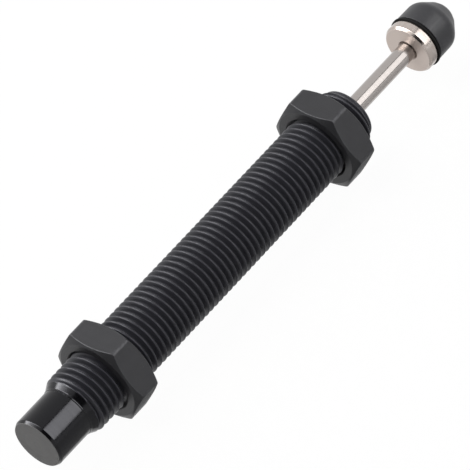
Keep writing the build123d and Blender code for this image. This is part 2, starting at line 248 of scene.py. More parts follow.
# %% [markdown]
# Materials and Geometry Nodes are both trees of nodes joined by links, so one small
# class serves for both. It keeps the cells below short: a sum of two sockets is one
# call, and a named list of sockets makes the inputs of a group.

# %% A short way to write node trees
class Tree:
    """A node tree with short ways to add nodes and join them."""

    def __init__(self, tree):
        self.tree = tree

    def node(self, kind, **settings):
        made = self.tree.nodes.new(kind)
        for key, value in settings.items():
            setattr(made, key, value)
        return made

    def put(self, socket, value):
        if isinstance(value, bpy.types.NodeSocket):
            self.tree.links.new(value, socket)
        elif value is not None:
            socket.default_value = value

    def fill(self, kind, settings=None, **inputs):
        """Adds a node, fills its inputs by name, with _ for a space, and returns its outputs."""
        made = self.node(kind, **(settings or {}))
        for name, value in inputs.items():
            self.put(made.inputs[name.replace("_", " ")], value)
        return made.outputs

    def math(self, operation, first, second=None, third=None, clamp=False):
        made = self.node("ShaderNodeMath", operation=operation, use_clamp=clamp)
        for socket, value in zip(made.inputs, (first, second, third)):
            self.put(socket, value)
        return made.outputs[0]

    add = partialmethod(math, "ADD")
    minus = partialmethod(math, "SUBTRACT")
    times = partialmethod(math, "MULTIPLY")
    over = partialmethod(math, "DIVIDE")
    most = partialmethod(math, "MAXIMUM")
    least = partialmethod(math, "MINIMUM")

    def ramp(self, value, low, high, to_low=0.0, to_high=1.0):
        """Maps a value from one range to another, smoothly and held at both ends."""
        return self.fill("ShaderNodeMapRange", {"interpolation_type": "SMOOTHSTEP"}, Value=value,
                         From_Min=low, From_Max=high, To_Min=to_low, To_Max=to_high)["Result"]

    def mix(self, factor, first, second):
        """A colour between two colours."""
        made = self.node("ShaderNodeMix", data_type="RGBA")
        self.put(made.inputs[0], factor)
        self.put(made.inputs[6], first)
        self.put(made.inputs[7], second)
        return made.outputs[2]

    def group(self, tree, **values):
        """Places a shader group and returns its outputs."""
        return self.fill("ShaderNodeGroup", {"node_tree": tree.tree}, **values)

    def tell(self):
        """Prints how many nodes the tree holds."""
        print(self.tree.name, "has", len(self.tree.nodes), "nodes")

    def sockets(self, direction, kinds):
        """Adds sockets from {name: (type, default)} and returns their identifiers."""
        found = {}
        for name, (kind, default) in kinds.items():
            made = self.tree.interface.new_socket(name, in_out=direction, socket_type=kind)
            if default is not None:
                made.default_value = default
            found[name] = made.identifier
        return found


FLOAT = "NodeSocketFloat"
WHOLE = "NodeSocketInt"
SHAPE = "NodeSocketGeometry"
FINISH = "NodeSocketMaterial"


def shader_group(name, inputs, outputs):
    """An empty shader group with its input outlets and output inlets."""
    group = Tree(bpy.data.node_groups.new(name, "ShaderNodeTree"))
    group.sockets("INPUT", inputs)
    group.sockets("OUTPUT", outputs)
    given = group.node("NodeGroupInput").outputs
    result = group.node("NodeGroupOutput").inputs
    return group, given, result


# %% [markdown]
# Four effects come back in several finishes, so each is a shader group, built once and
# placed in every material that needs it with its own values. The first is plain grain:
# a fine noise and a coarse one, both centred on nought. Blasted, coated and moulded
# surfaces all have it, and it mostly moves the roughness and a faint bump.

# %% Group one: grain
grain_group, given, result = shader_group(
    "surface_grain",
    {"Fine Size": (FLOAT, 0.1), "Coarse Size": (FLOAT, 2.0)},
    {"Fine": (FLOAT, None), "Coarse": (FLOAT, None)},
)


def centred_noise(t, size_mm, detail):
    """Noise on Object coordinates with features of a size in millimetres, from -1 to 1."""
    place = t.node("ShaderNodeTexCoord").outputs["Object"]
    noise = t.fill("ShaderNodeTexNoise", Vector=place, Scale=t.over(1 / MM, size_mm), Detail=detail)
    return t.times(t.minus(noise[0], 0.5), 2.0)


grain_group.put(result["Fine"], centred_noise(grain_group, given["Fine Size"], 3.0))
grain_group.put(result["Coarse"], centred_noise(grain_group, given["Coarse Size"], 4.0))
grain_group.tell()

# %% [markdown]
# The second is the mark of the lathe tool. On a side it runs round at one place along X,
# and on an end face it is a circle at one radius, so the noise has a single dimension:
# X where the surface looks sideways, and the radius where it looks along the axis.

# %% Group two: turning marks
END_FACE = 0.6
RINGS_APART = 50.0
MARKS_PER_BAND = 7.0
turning_group, given, result = shader_group(
    "turning_marks",
    {"Mark Width": (FLOAT, 0.1)},
    {"Height": (FLOAT, None), "Band": (FLOAT, None)},
)


def axis_and_radius(t):
    """How far along and how far out a point of the surface is, in millimetres."""
    x, y, z = t.fill("ShaderNodeSeparateXYZ", Vector=t.node("ShaderNodeTexCoord").outputs["Object"])
    out = t.times(t.math("SQRT", t.add(t.times(y, y), t.times(z, z))), 1 / MM)
    return t.times(x, 1 / MM), out


def facing_share(t):
    """One where the surface looks along the axis, nought where it looks sideways."""
    normal = t.node("ShaderNodeTexCoord").outputs["Normal"]
    along = t.fill("ShaderNodeSeparateXYZ", Vector=normal)["X"]
    return t.math("GREATER_THAN", t.math("ABSOLUTE", along), END_FACE)


def line_noise(t, along, width, detail):
    """Noise in one dimension with features of that width, from -1 to 1."""
    noise = t.fill("ShaderNodeTexNoise", {"noise_dimensions": "1D"}, W=t.over(along, width),
                   Scale=1.0, Detail=detail)
    return t.times(t.minus(noise[0], 0.5), 2.0)


def build_turning_marks(t, given, result):
    along, out = axis_and_radius(t)
    facing = facing_share(t)
    place = t.add(t.times(facing, t.add(out, RINGS_APART)), t.times(t.minus(1.0, facing), along))
    width = given["Mark Width"]
    t.put(result["Height"], line_noise(t, place, width, 2.0))
    t.put(result["Band"], line_noise(t, place, t.times(width, MARKS_PER_BAND), 1.0))


build_turning_marks(turning_group, given, result)
turning_group.tell()

# %% [markdown]
# The third is wear on what stands proud. Everything here is round, so what stands proud
# is what lies far out from the axis, such as the ridges of the thread, or what the mesh
# marked as a convex edge, such as the arcs of the nuts. Noise breaks the mask up.

# %% Group three: rim wear
wear_group, given, result = shader_group(
    "rim_wear",
    {"From Radius": (FLOAT, 5.0), "To Radius": (FLOAT, 6.0), "Edge Share": (FLOAT, 0.5),
     "Patch Size": (FLOAT, 0.8), "Evenness": (FLOAT, 0.6)},
    {"Mask": (FLOAT, None)},
)


def build_rim_wear(t, given, result):
    along, out = axis_and_radius(t)
    edge = t.node("ShaderNodeAttribute", attribute_name="edge").outputs["Fac"]
    proud = t.ramp(out, given["From Radius"], given["To Radius"])
    rise = t.most(proud, t.times(edge, given["Edge Share"]))
    share = t.add(given["Evenness"], centred_noise(t, given["Patch Size"], 4.0), clamp=True)
    t.put(result["Mask"], t.times(rise, share))


build_rim_wear(wear_group, given, result)
wear_group.tell()

# %% [markdown]
# The fourth is dust and handling: small pale specks from cells of a Voronoi texture, and
# broad smears that only change how sharply the surface mirrors.

# %% Group four: dust
SPECK_BLUR = 1.6
dust_group, given, result = shader_group(
    "dust_and_smears",
    {"Speck Spacing": (FLOAT, 1.5), "Speck Size": (FLOAT, 0.03), "Smear Size": (FLOAT, 6.0)},
    {"Specks": (FLOAT, None), "Smears": (FLOAT, None)},
)


def build_dust(t, given, result):
    place = t.node("ShaderNodeTexCoord").outputs["Object"]
    cells = t.fill("ShaderNodeTexVoronoi", Vector=place, Scale=t.over(1 / MM, given["Speck Spacing"]))
    inner = t.over(given["Speck Size"], given["Speck Spacing"])
    t.put(result["Specks"], t.ramp(cells["Distance"], inner, t.times(inner, SPECK_BLUR), 1.0, 0.0))
    t.put(result["Smears"], centred_noise(t, given["Smear Size"], 3.0))


build_dust(dust_group, given, result)
dust_group.tell()


# %% [markdown]
# Every finish below is one recipe: a base colour, a lighter worn colour where a mask
# says so, a roughness that grain and marks move a little, and a bump that is only
# microns high. What is the same all over the surface, such as the metalness of a metal
# or the sheen of a coat, is set on the shader's own socket.

# %% A helper that starts a material
def new_finish(name, **plain):
    """A material with one Principled shader; plain values go on its own sockets."""
    made = bpy.data.materials.new(name)
    made.use_nodes = True
    shader = made.node_tree.nodes["Principled BSDF"]
    for socket, value in plain.items():
        shader.inputs[socket.replace("_", " ")].default_value = value
    return made, Tree(made.node_tree), shader


def grey(level, warmth=0.0):
    """A grey: warm ones have more red and a little less blue, and cool ones only more blue."""
    less_blue = 0.6 * warmth if warmth > 0 else warmth
    return level * (1 + max(warmth, 0)), level, level * (1 - less_blue), 1.0


def blotched(t, grain, colour, spread, warmth):
    """A grey that the coarse grain makes darker and lighter by a share."""
    tone = t.add(t.times(grain["Coarse"], 0.5), 0.5, clamp=True)
    return t.mix(tone, grey(colour * (1 - spread), warmth), grey(colour * (1 + spread), warmth))


def dusted(t, shader, base, dust, share, level=0.3):
    """Sets the base colour, with pale specks of dust over it."""
    t.put(shader.inputs["Base Color"], t.mix(t.times(dust["Specks"], share), base, grey(level, 0.03)))


def roughened(t, shader, rough, grain, dust, fine=0.06, smears=0.05, marks=None):
    """Sets the roughness: one level that grain, smears and tool marks move a little."""
    texture = t.add(t.times(grain["Fine"], fine), t.times(dust["Smears"], smears))
    texture = t.add(texture, rough, clamp=not marks)
    if marks:
        texture = t.add(texture, t.times(marks["Band"], 0.05), clamp=True)
    t.put(shader.inputs["Roughness"], texture)


def bump(t, shader, height, micrometres):
    """Feeds a height from -1 to 1 into the shader's normal, at a depth in micrometres."""
    normal = t.fill("ShaderNodeBump", Strength=1.0, Distance=micrometres * 1e-6, Height=height)
    t.put(shader.inputs["Normal"], normal[0])


# %% [markdown]
# Black oxide on steel is thin, so it is never quite black: it is a dark neutral skin
# over bright metal, and the ridges of a thread, which rub, come out paler. The threads,
# the nuts and the flat end all have this finish, and only the values differ.

# %% The coated finishes
def coated(name, colour, worn, rough, radii, evenness, marks_width, depth, shine=0.5, tint=-0.2):
    """Blackened steel: colour, worn colour, roughness, (from, to) radius of the wear in mm."""
    made, t, shader = new_finish(name, Metallic=0.0, IOR=1.5, Specular_IOR_Level=shine,
                                 Specular_Tint=grey(0.93, tint / 3))
    grain = t.group(grain_group, Fine_Size=0.12, Coarse_Size=2.2)
    marks = t.group(turning_group, Mark_Width=marks_width)
    wear = t.group(wear_group, From_Radius=radii[0], To_Radius=radii[1],
                   Patch_Size=0.7, Evenness=evenness)
    dust = t.group(dust_group, Speck_Spacing=1.9, Speck_Size=0.035, Smear_Size=7.0)
    base = t.mix(wear["Mask"], blotched(t, grain, colour, 0.25, tint), grey(worn, tint))
    dusted(t, shader, base, dust, 0.25)
    roughened(t, shader, rough, grain, dust, marks=marks)
    bump(t, shader, t.add(t.times(grain["Fine"], 0.5), marks["Height"]), depth)
    return made


thread_black = coated("thread_black", 0.023, 0.038, 0.33, (crest_radius - 0.15, crest_radius),
                      0.5, 0.05, 5.0, 0.29)
neck_black = coated("neck_black", 0.0025, 0.005, 0.17, (neck_radius - 0.1, neck_radius + 0.3),
                    0.2, 0.12, 0.6, 0.27)
end_grey = coated("end_grey", 0.068, 0.15, 0.5, (neck_radius - 0.5, neck_radius),
                  0.5, 0.09, 2.5, tint=0.02)
nut_black = coated("nut_black", 0.0175, 0.07, 0.42, (nut_flat + 1.15, nut_flat + 1.4),
                   0.55, 0.1, 7.0, 0.36, -0.1)
print("coated finishes: 4")


# %% [markdown]
# Bright steel is a metal all over, so its colour is what it reflects. The rod is ground
# and polished, with marks too fine to see one by one. The button is turned and left so,
# and its end face shows the rings of the tool.

# %% The bright finishes
NO_RIM = (50.0, 60.0)


def bright(name, colour, warmth, rough, marks_width, depth, radii=NO_RIM):
    """Bare steel: level, warmth, roughness, width of the turning marks in mm and their depth."""
    made, t, shader = new_finish(name, Metallic=1.0)
    grain = t.group(grain_group, Fine_Size=0.09, Coarse_Size=3.0)
    marks = t.group(turning_group, Mark_Width=marks_width)
    wear = t.group(wear_group, From_Radius=radii[0], To_Radius=radii[1], Patch_Size=0.9, Evenness=0.3)
    dust = t.group(dust_group, Speck_Spacing=2.4, Speck_Size=0.03, Smear_Size=5.0)
    tone = t.add(t.times(marks["Band"], 0.35), 0.5, clamp=True)
    base = t.mix(tone, grey(colour * 0.93, warmth), grey(colour, warmth * 0.8))
    base = t.mix(wear["Mask"], base, grey(min(0.95, colour * 1.15), warmth * 0.6))
    dusted(t, shader, base, dust, 0.35, 0.35)
    roughened(t, shader, rough, grain, dust, 0.05, 0.04, marks)
    bump(t, shader, t.add(t.times(grain["Fine"], 0.2), marks["Height"]), depth)
    return made


rod_bright = bright("rod_bright", 0.38, 0.09, 0.16, 0.12, 0.5)
button_steel = bright("button_steel", 0.42, 0.155, 0.21, 0.09, 1.5, (head_radius - 0.25, head_radius))
face_steel = bright("face_steel", 0.51, 0.155, 0.5, 0.16, 5.0)
turned_steel = bright("turned_steel", 0.55, 0.01, 0.35, 0.12, 2.0)
spring_wire = bright("spring_wire", 0.5, 0.02, 0.28, 0.15, 1.0)
ball_steel = bright("ball_steel", 0.78, 0.0, 0.08, 0.2, 0.1)
guide_aluminium = bright("guide_aluminium", 0.82, 0.0, 0.34, 0.1, 2.0)
bush_bronze = bright("bush_bronze", 0.45, 0.32, 0.36, 0.12, 1.5)
print("bright finishes: 8")


# %% [markdown]
# The cap and the seals are moulded. A moulded elastomer has no tool marks but a matte
# skin of fine grain, and it gathers a little dust.

# %% The moulded finishes
def moulded(name, colour, rough, depth, warmth=0.0, specks=0.25, shine=0.5):
    """Elastomer, polymer or foam: level, roughness and depth of the grain in micrometres."""
    made, t, shader = new_finish(name, Metallic=0.0, IOR=1.48, Specular_IOR_Level=shine)
    grain = t.group(grain_group, Fine_Size=0.16, Coarse_Size=2.5)
    dust = t.group(dust_group, Speck_Spacing=1.5, Speck_Size=0.035, Smear_Size=5.0)
    marks = t.group(turning_group, Mark_Width=0.45)
    dusted(t, shader, blotched(t, grain, colour, 0.12, warmth), dust, specks)
    roughened(t, shader, rough, grain, dust)
    texture = t.add(grain["Fine"], t.times(grain["Coarse"], 0.5))
    bump(t, shader, t.add(texture, marks["Height"]), depth)
    return made


cap_rubber = moulded("cap_rubber", 0.022, 0.42, 5.0, -0.15, shine=0.42)
# The lip's finish is painted shade: darker, rougher and less glossy than the cap, for the shadow behind
# the step.
lip_rubber_painted_shade = moulded("lip_rubber_painted_shade", 0.006, 0.7, 3.0, shine=0.12)
seal_rubber = moulded("seal_rubber", 0.02, 0.5, 3.0)
washer_white = moulded("washer_white", 0.75, 0.4, 2.0, specks=0.05)
foam_grey = moulded("foam_grey", 0.2, 0.9, 25.0)
print("moulded finishes: 5")

# %% [markdown]
# A screw thread follows a rule: walk round the axis once and you have moved on by one
# pitch. Geometry Nodes can hold that rule. A flat grid of points is wound into a tube:
# the column of a point says how far round it lies, and its row how far along. Each
# column is also pushed along by its share of a pitch, so the rows run along the helix
# and the ridges stay crisp however few points there are. The radius then depends on the
# row alone. Where the plain blank, which has a cone at each end, is smaller than the
# thread, the blank wins, so the thread runs out as a real one does. For a nut the
# same rule is used inside out.

# %% Name the inputs of the thread rule
thread_tree = Tree(bpy.data.node_groups.new("screw_thread", "GeometryNodeTree"))
thread_inputs = thread_tree.sockets("INPUT", {
    "Start": (FLOAT, 0.0), "End": (FLOAT, 0.01), "Pitch": (FLOAT, 0.0015),
    "Ridge Radius": (FLOAT, 0.007), "Groove Radius": (FLOAT, 0.006),
    "Start Radius": (FLOAT, 0.006), "End Radius": (FLOAT, 0.006),
    "Start Slope": (FLOAT, 1.0), "End Slope": (FLOAT, 1.0),
    "Phase": (FLOAT, 0.0), "Lead": (FLOAT, -1.0),
    "Ridge Width": (FLOAT, 0.22), "Groove Width": (FLOAT, 0.12), "Rounding": (FLOAT, 0.5),
    "Side": (FLOAT, 1.0), "Around": (WHOLE, THREAD_AROUND), "Rows per Turn": (WHOLE, 16),
    "Material": (FINISH, None),
})
thread_tree.sockets("OUTPUT", {"Mesh": (SHAPE, None)})


# %% Build the thread rule
ROW_GATHER = 0.55
CUT_IN_SLOPE = 1.5


def held(t, x, given):
    """Keeps a place along the axis between the rule's start and its end."""
    return t.most(t.least(x, given["End"]), given["Start"])


def wind(t, geometry, x, radius, turns):
    """Moves points to a place along the axis, a radius, and an angle counted in turns."""
    angle = t.times(turns, 2 * math.pi)
    place = t.fill("ShaderNodeCombineXYZ", X=x, Y=t.times(radius, t.math("COSINE", angle)),
                   Z=t.times(radius, t.math("SINE", angle)))
    return t.fill("GeometryNodeSetPosition", Geometry=geometry, Position=place[0])[0]


def end_of_tree(t, geometry, material):
    """Ends a geometry tree in Realize Instances, Set Material and the output."""
    real = t.fill("GeometryNodeRealizeInstances", Geometry=geometry)
    painted = t.fill("GeometryNodeSetMaterial", Geometry=real[0], Material=material)
    t.put(t.node("NodeGroupOutput").inputs[0], painted[0])


def build_thread(t):
    given = t.node("NodeGroupInput").outputs
    across = t.add(given["Around"], 1.0)
    turns = t.over(t.minus(given["End"], given["Start"]), given["Pitch"])
    rows = t.math("CEIL", t.times(t.add(turns, 3.0), given["Rows per Turn"]))
    grid = t.fill("GeometryNodeMeshGrid", Vertices_X=rows, Vertices_Y=across)
    index = t.node("GeometryNodeInputIndex").outputs[0]
    row = t.math("FLOOR", t.over(t.add(index, 0.5), across))
    column = t.minus(index, t.times(row, across))
    round_share = t.over(column, given["Around"])
    even_share = t.minus(t.over(row, given["Rows per Turn"]), 1.0)
    gather = t.math("SINE", t.times(even_share, 2 * math.pi))
    row_share = t.minus(even_share, t.times(gather, ROW_GATHER / (2 * math.pi)))
    start = t.minus(given["Start"], given["Phase"])
    first_turn = t.math("FLOOR", t.over(start, given["Pitch"]))
    along = t.add(t.add(row_share, round_share), first_turn)
    along = t.add(t.times(along, given["Pitch"]), given["Phase"])
    x = held(t, along, given)
    from_groove = t.math("ABSOLUTE", t.minus(t.math("FRACT", t.add(row_share, 1.0)), 0.5))
    from_groove = t.times(from_groove, 2.0)
    flank = t.minus(t.minus(1.0, given["Ridge Width"]), given["Groove Width"])
    height = t.over(t.minus(from_groove, given["Groove Width"]), flank)
    top = t.over(t.minus(1.0, given["Groove Width"]), flank)
    top = t.math("SMOOTH_MIN", top, 1.0, third=given["Rounding"])
    height = t.over(t.math("SMOOTH_MIN", height, 1.0, third=given["Rounding"]), top)
    height = t.most(height, 0.0)
    depth = t.minus(given["Ridge Radius"], given["Groove Radius"])
    thread = t.add(given["Groove Radius"], t.times(depth, height))
    cut_in = t.minus(t.minus(x, given["Start"]), given["Lead"])
    cut_in = t.times(t.most(cut_in, 0.0), CUT_IN_SLOPE)
    thread = t.most(thread, t.minus(given["Ridge Radius"], cut_in))
    side = given["Side"]
    rise = t.times(t.minus(x, given["Start"]), given["Start Slope"])
    fall = t.times(t.minus(given["End"], x), given["End Slope"])
    start_cone = t.add(t.times(given["Start Radius"], side), rise)
    end_cone = t.add(t.times(given["End Radius"], side), fall)
    blank = t.least(start_cone, end_cone)
    radius = t.times(t.least(t.times(thread, side), blank), side)
    wound = wind(t, grid["Mesh"], x, radius, round_share)
    merged = t.fill("GeometryNodeMergeByDistance", Geometry=wound, Distance=1e-7)
    end_of_tree(t, merged[0], given["Material"])


build_thread(thread_tree)
thread_tree.tell()


# %% Helpers that run a node tree and keep its mesh
def run_tree(tree, identifiers, values):
    """Evaluates a Geometry Nodes tree with the given input values and returns a plain mesh."""
    holder = placed("holder", bpy.data.meshes.new("holder"))
    modifier = holder.modifiers.new("rule", "NODES")
    modifier.node_group = tree.tree
    for name, value in values.items():
        modifier[identifiers[name]] = value
    bpy.context.view_layer.update()
    evaluated = holder.evaluated_get(bpy.context.evaluated_depsgraph_get())
    mesh = bpy.data.meshes.new_from_object(evaluated)
    holder.modifiers.remove(modifier)
    bpy.data.objects.remove(holder)
    return mesh


def add_thread(bm, material, lengths, shares):
    """Adds a stretch of thread to a bmesh. Lengths are in millimetres."""
    values = {name: value * MM for name, value in lengths.items()}
    values.update({"Pitch": pitch * MM, "Phase": thread_phase * MM, "Material": material, **shares})
    mesh = run_tree(thread_tree, thread_inputs, values)
    bm.from_mesh(mesh)
    bpy.data.meshes.remove(mesh)


# %% [markdown]
# The outer body is one piece of steel: a closed rear end, a plain neck, a cone up to the
# thread, fifty odd turns of thread, and a thin lip that is rolled inwards over the guide.
# The neck and the lip are spun, the thread comes from its rule, and because they share
# the same number of columns their rings meet and merge into one closed skin, bore and all.

# %% Make the outer body
def add_body_ends(bm):
    rear = [
        (body_rear, 0),
        (body_rear, neck_radius - rear_edge_rise, 0.08),
        (body_rear + rear_edge_length, neck_radius, 0.25),
        (shoulder_rear, neck_radius, 0.03),
        (shoulder_rear + shoulder_step, neck_radius + shoulder_step, 0.03),
        (shoulder_rear + shoulder_land, neck_radius + shoulder_step),
    ]
    lathe(bm, rear, THREAD_AROUND, closed=False)
    front = [
        (lip_rear, groove_radius),
        (body_front - lip_line - lip_line_half, groove_radius, 0.02),
        (body_front - lip_line, groove_radius - lip_line_depth, 0.02),
        (body_front - lip_line + lip_line_half, groove_radius, 0.02),
        (body_front, groove_radius, lip_rounding),
        (body_front, lip_bore + lip_edge, 0.05),
        (body_front - lip_edge, lip_bore, 0.05),
        (guide_front, lip_bore),
        (guide_front, body_bore),
        (body_rear + end_wall, body_bore),
        (body_rear + end_wall, 0),
    ]
    lathe(bm, front, THREAD_AROUND, closed=False)


shoulder_rise = (crest_radius - neck_radius - shoulder_step) / (shoulder_length - shoulder_land)
bm = bmesh.new()
add_body_ends(bm)
add_thread(bm, thread_black, {
    "Start": shoulder_rear + shoulder_land,
    "End": lip_rear,
    "Ridge Radius": crest_radius,
    "Groove Radius": groove_radius,
    "Start Radius": neck_radius + shoulder_step,
    "End Radius": groove_radius,
    "Lead": shoulder_smooth,
}, {"Start Slope": shoulder_rise, "End Slope": thread_depth / thread_end_cone})
body_skin = finished_object(bm, "body_skin")


# %% [markdown]
# One object can hold several materials, and each face then says which it wears. The
# ground neck is glossier than the cut thread, and the flat end has lost its black.

# %% Paint the body face by face
def paint(piece, materials, choose):
    """Gives a piece its materials; choose(x, r) in millimetres returns the index of a face's own."""
    for material in materials:
        piece.data.materials.append(material)
    for face in piece.data.polygons:
        x, y, z = face.center / MM
        face.material_index = choose(x, math.hypot(y, z))


def body_finish(x, radius):
    if x < body_rear + 0.1:
        return 2
    glossy_front = shoulder_rear + shoulder_land + shoulder_smooth + 0.1
    return 1 if x < glossy_front and radius > neck_radius - 0.4 else 0


paint(body_skin, [thread_black, neck_black, end_grey], body_finish)
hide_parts("outer_body")
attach(body_skin, "housing")

# %% [markdown]
# A hexagon nut starts as hexagon bar. Both faces are chamfered by a cone of 30 degrees,
# which cuts more from the corners than from the flats and leaves the well known arcs on
# the six sides. The mesh is laid out in columns round the nut, close together at the
# corners, and each column is an outline of its own with that column's radius.

# %% Name the sizes of the nuts
NUT_COLUMNS_PER_SIDE = 24
nut_face_radius = 9.0
nut_corner = 0.9
nut_edge = 0.2
nut_mouth_radius = crest_radius + 0.03 + thread_depth / 2
nut_ridge_gap = 0.08
nut_groove_gap = 0.19
slant = math.radians(30)
side_angle = math.radians(60)
chamfer_slope = math.tan(slant)
corner_centre = (nut_flat - nut_corner) / math.cos(slant)
corner_reach = math.atan2(nut_corner * 0.5, corner_centre + nut_corner * math.cos(slant))


def nut_radius(angle):
    """Radius of the rounded hexagon at this angle from a corner, up to half a side away."""
    if angle < corner_reach:
        off = corner_centre * math.sin(angle)
        return corner_centre * math.cos(angle) + math.sqrt(nut_corner ** 2 - off ** 2)
    return nut_flat / math.cos(slant - angle)


def nut_columns():
    """Angles round a nut with their radii, from the corner at +Y."""
    hold = corner_reach + math.radians(0.35)
    near = [0, corner_reach * 0.34, corner_reach * 0.67, corner_reach, hold]
    middle = NUT_COLUMNS_PER_SIDE - 9
    inside = [hold + (side_angle - 2 * hold) * (step + 1) / (middle + 1) for step in range(middle)]
    offsets = near + inside + [side_angle - item for item in reversed(near[1:])]
    return [(side_angle * index + offset, nut_radius(min(offset, side_angle - offset)))
            for index in range(6) for offset in offsets]


columns = nut_columns()
print("nut columns:", len(columns), "corner radius", round(max(item[1] for item in columns), 2), "mm")


# %% Make the two nuts
def nut_outline(rear, front, radius):
    """The outline of one column of the nut, from its rear mouth to its front mouth."""
    drop = (radius - nut_face_radius) * chamfer_slope
    return rounded([
        (rear, nut_mouth_radius),
        (rear, nut_face_radius, nut_edge),
        (rear + drop, radius, nut_edge),
        (front - drop, radius, nut_edge),
        (front, nut_face_radius, nut_edge),
        (front, nut_mouth_radius),
    ])


def make_nut(name, node, body, rear, front):
    outlines = [nut_outline(rear, front, radius) for angle, radius in columns]
    last = len(outlines[0]) - 1
    rings = []
    for index in range(last + 1):
        ring = []
        for step, (angle, radius) in enumerate(columns):
            x, out = outlines[step][index]
            even = 2 * math.pi * step / len(columns)
            ring.append(on_circle(x, out, even if index in (0, last) else angle))
        rings.append(ring)
    bm = bmesh.new()
    skin(bm, rings)
    add_thread(bm, nut_black, {
        "Start": rear,
        "End": front,
        "Ridge Radius": crest_radius + nut_ridge_gap,
        "Groove Radius": groove_radius + nut_groove_gap,
        "Start Radius": nut_mouth_radius,
        "End Radius": nut_mouth_radius,
    }, {"Side": -1.0, "Ridge Width": 0.11, "Groove Width": 0.34, "Around": len(columns)})
    nut = finished_object(bm, name, 28)
    nut.data.materials.append(nut_black)
    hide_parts(node)
    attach(nut, body)
make_nut("front_nut", "front_lock_nut", "front_nut", front_nut_rear, front_nut_front)
make_nut("rear_nut", "rear_lock_nut", "rear_nut", rear_nut_rear, rear_nut_front)

# %% [markdown]
# The rod and the button on its end are bright and small, and every flat spot in them
# would show, so they are spun again with 144 columns. The button hides a post that the
# cap is moulded on, and a countersunk socket in its back takes the rod.

# %% Make the rod
spigot_radius = rod_radius - 0.5
rod_spigot_front = rod_front - 4.0


def add_piece(name, node, body, material, outline):
    """A turned piece that stands for a CAD node and rides where it does."""
    bm = bmesh.new()
    lathe(bm, outline)
    piece = finished_object(bm, name)
    piece.data.materials.append(material)
    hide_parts(node)
    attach(piece, body)
    return piece


piston_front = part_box("piston")[1][0] / MM
rod_spigot_rear = piston_front - 2.0
rod_skin = add_piece("rod_skin", "piston_rod", "rod", rod_bright, [
    (rod_rear, 0),
    (rod_rear, spigot_radius, 0.2),
    (rod_spigot_rear, spigot_radius),
    (rod_spigot_rear, rod_radius),
    (rod_spigot_front, rod_radius),
    (rod_spigot_front, spigot_radius),
    (rod_front, spigot_radius, 0.2),
    (rod_front, 0),
])

# %% Make the button
head_front = cap_rear
countersink = 0.35
rim_slope = (0.55, 0.4)
relief = (0.25, 0.12)
neck_of_post = 3.2
bead_of_post = 3.8
top_of_post = 3.4
post = [
    (head_front, neck_of_post),
    (post_front - 2.2, neck_of_post),
    (post_front - 1.8, bead_of_post),
    (post_front - 0.4, bead_of_post),
    (post_front, top_of_post),
    (post_front, 0),
]
button_skin = add_piece("button_skin", "bumper_base", "rod", button_steel, [
    (rod_spigot_front, 0),
    (rod_spigot_front, rod_radius),
    (head_rear + countersink, rod_radius),
    (head_rear, rod_radius + countersink, 0.04),
    (head_rear, head_radius - rim_slope[1], 0.12),
    (head_rear + rim_slope[0], head_radius, 0.16),
    (head_front - relief[0], head_radius, 0.04),
    (head_front - relief[0], head_radius - relief[1]),
    (head_front, head_radius - relief[1]),
    *post,
])
paint(button_skin, [face_steel], lambda x, radius: 1 if x < head_rear + 0.03 else 0)

# %% [markdown]
# The cap is an elastomer skin over the post. It has a proud lip at the button, a side
# that narrows a little for the mould, and a coned nose that meets the load first.

# %% Make the cap
cap_side_rear = cap_rear + 0.92
cap_side_front = cap_side_rear + 4.9
cap_nose_rear = cap_side_front + 3.1
cap_groove_radius = cap_lip_radius - 0.42
cap_skin = add_piece("cap_skin", "bumper_cap", "rod", cap_rubber, [
    post[0],
    (cap_rear, cap_lip_radius, 0.15),
    (cap_rear + 0.48, cap_lip_radius, 0.12),
    (cap_rear + 0.54, cap_groove_radius, 0.03),
    (cap_rear + 0.8, cap_groove_radius, 0.03),
    (cap_side_rear, head_radius + 0.13, 0.1),
    (cap_side_front, head_radius + 0.08, 3.0),
    (cap_nose_rear, 3.4, 0.9),
    (cap_front, 2.5, 0.3),
    (cap_front, 0),
    *reversed(post[1:]),
])

# %% [markdown]
# Where the two halves of the mould met, a fine line of flash runs lengthwise over the
# cap, on both sides. The lip behind the step is painted darker and duller than the cap,
# as painted shade for the shadow it lies in.

# %% Add the mould line, and paint shade on the lip
FLASH_HEIGHT = 0.05
flash_angle = math.radians(130.0)
column_step = 2 * math.pi / AROUND
for vertex in cap_skin.data.vertices:
    x, y, z = vertex.co / MM
    off = (math.atan2(z, y) - flash_angle + math.pi / 2) % math.pi - math.pi / 2
    radius = math.hypot(y, z)
    if abs(off) < column_step / 2 and cap_side_rear + 0.1 < x and radius > 3.0:
        vertex.co *= Vector((1, 1 + FLASH_HEIGHT / radius, 1 + FLASH_HEIGHT / radius))
# The faces of the lip behind the step get the finish that paints shade on them.
paint(cap_skin, [lip_rubber_painted_shade], lambda x, radius: 1 if x < cap_rear + 0.85 else 0)

# %% [markdown]
# Round the rod, inside the lip, a wiper keeps dirt out. It is a ring of rubber with a
# thin edge that runs forward along the rod.

# %% Make the wiper
wiper_bore = rod_radius + 0.02
pocket_radius = guide_radius - 1.15
wiper_skin = add_piece("wiper_skin", "rod_wiper", "housing", seal_rubber, [
    (bush_front + 0.2, wiper_bore + 0.5),
    (bush_front + 0.2, pocket_radius),
    (guide_front, pocket_radius),
    (guide_front, wiper_bore + 1.0, 0.1),
    (guide_front + 0.6, wiper_bore + 0.25),
    (guide_front + 0.6, wiper_bore),
    (guide_front - 0.6, wiper_bore),
])

# %% [markdown]
# The return spring follows a rule as well: a wire wound at an even pitch, with one closed
# coil at each end that is ground flat to stand square. The curve is laid point by point
# from its index, a circle runs along it, and whatever would stand past an end is pressed
# back to it, which is just what grinding does.

